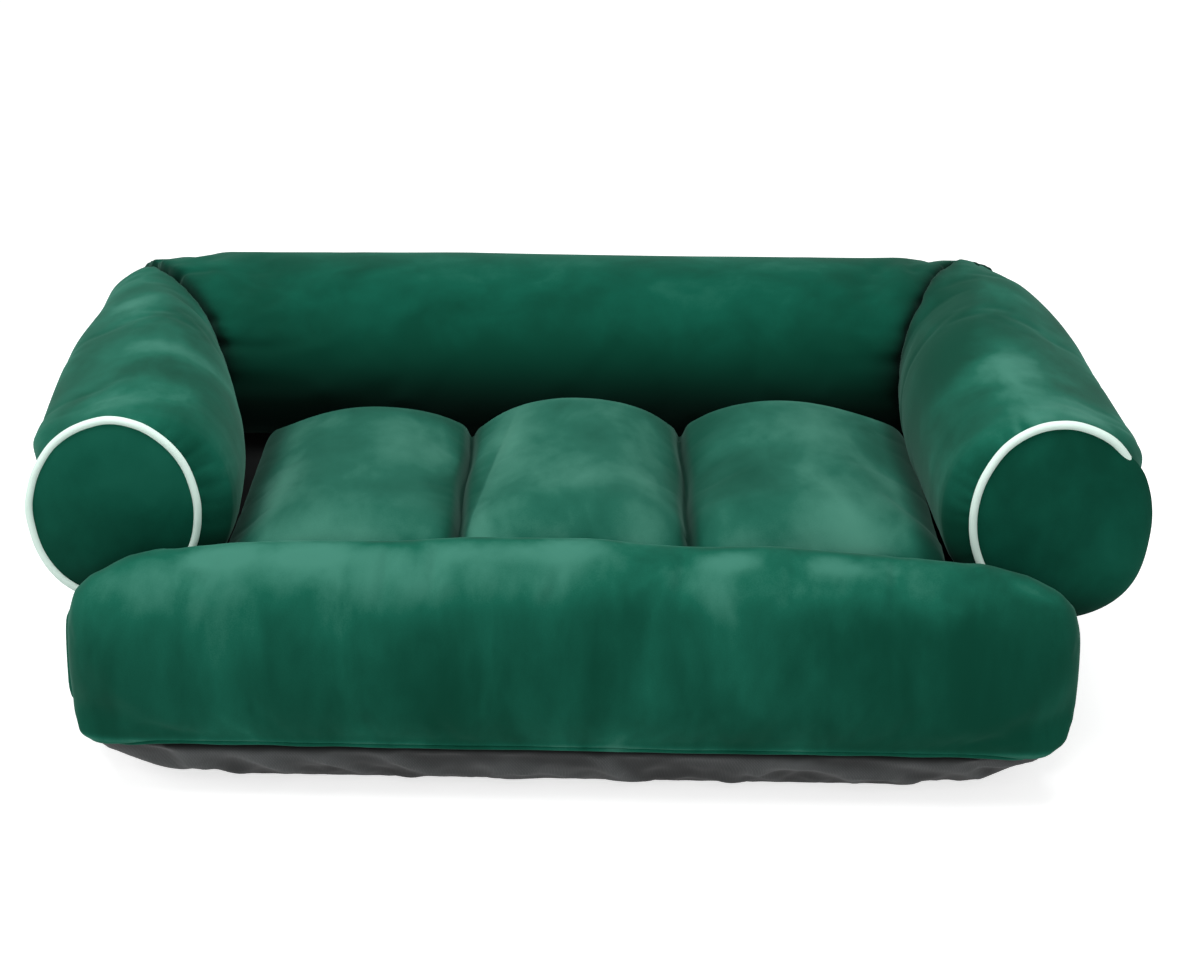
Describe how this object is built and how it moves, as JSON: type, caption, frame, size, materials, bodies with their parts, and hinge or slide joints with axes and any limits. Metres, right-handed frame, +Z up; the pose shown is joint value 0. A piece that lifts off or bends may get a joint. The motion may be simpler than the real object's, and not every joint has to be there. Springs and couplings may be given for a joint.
{
  "type": "pet bed",
  "caption": "Sofa-shaped velvet pet bed: stuffed arms, back and front roll round a well, with a channelled cushion that lifts out, piped arm ends, a dark underside and zipped covers.",
  "frame": {"origin": "on the floor, under the middle of the bed's width and depth", "axes": "+X to the right seen from the front, +Y to the back, +Z up"},
  "size_m": [0.9, 0.7, 0.3069],
  "materials": {
    "velvet": "matte",
    "dark_cloth": "matte",
    "piping": "matte",
    "piping_cord": "matte",
    "fibre": "matte",
    "foam": "matte",
    "zip_tape": "matte",
    "zip_coil": "satin",
    "zip_metal": "satin"
  },
  "bodies": {
    "bed": {"underside_cloth": "dark_cloth", "underside_pad": "fibre", "base_foam": "foam", "deck_cloth": "dark_cloth", "rear_band": "velvet", "right_side_band": "velvet", "left_side_band": "velvet", "front_bolster_cover": "velvet", "front_bolster_filling": "fibre", "right_arm_cover": "velvet", "left_arm_cover": "velvet", "right_arm_filling": "fibre", "left_arm_filling": "fibre", "right_arm_disc": "velvet", "left_arm_disc": "velvet", "right_arm_piping": "piping", "left_arm_piping": "piping", "right_piping_cord": "piping_cord", "left_piping_cord": "piping_cord", "back_bolster_cover": "velvet", "back_bolster_filling": "fibre", "base_zip_tapes": "zip_tape", "base_zip_coil": "zip_coil", "base_zip_stops": "zip_metal"},
    "cushion": {"cushion_top_cover": "velvet", "cushion_bottom_cover": "velvet", "left_cushion_baffle": "dark_cloth", "right_cushion_baffle": "dark_cloth", "left_cushion_filling": "fibre", "middle_cushion_filling": "fibre", "right_cushion_filling": "fibre", "cushion_zip_tapes": "zip_tape", "cushion_zip_coil": "zip_coil", "cushion_zip_stops": "zip_metal"},
    "base_slider": {"base_zip_slider": "zip_metal"},
    "base_pull": {"base_zip_pull": "zip_metal"},
    "cushion_slider": {"cushion_zip_slider": "zip_metal"},
    "cushion_pull": {"cushion_zip_pull": "zip_metal"}
  },
  "joints": [
    {"name": "cushion_lift", "type": "slide", "parent": "bed", "child": "cushion", "axis": [0, 0, 1], "range_m": [0, 0.3]},
    {"name": "base_zip", "type": "slide", "parent": "bed", "child": "base_slider", "axis": [-1, 0, 0], "range_m": [0, 0.586]},
    {"name": "base_zip_pull_swing", "type": "hinge", "parent": "base_slider", "child": "base_pull", "pos_m": [0.2936, 0.3413, 0.091], "axis": [0, 0, -1], "range_deg": [0, 150]},
    {"name": "cushion_zip", "type": "slide", "parent": "cushion", "child": "cushion_slider", "axis": [-1, 0, 0], "range_m": [0, 0.426]},
    {"name": "cushion_zip_pull_swing", "type": "hinge", "parent": "cushion_slider", "child": "cushion_pull", "pos_m": [0.2136, 0.1263, 0.1498], "axis": [0, 0, -1], "range_deg": [0, 150]}
  ]
}
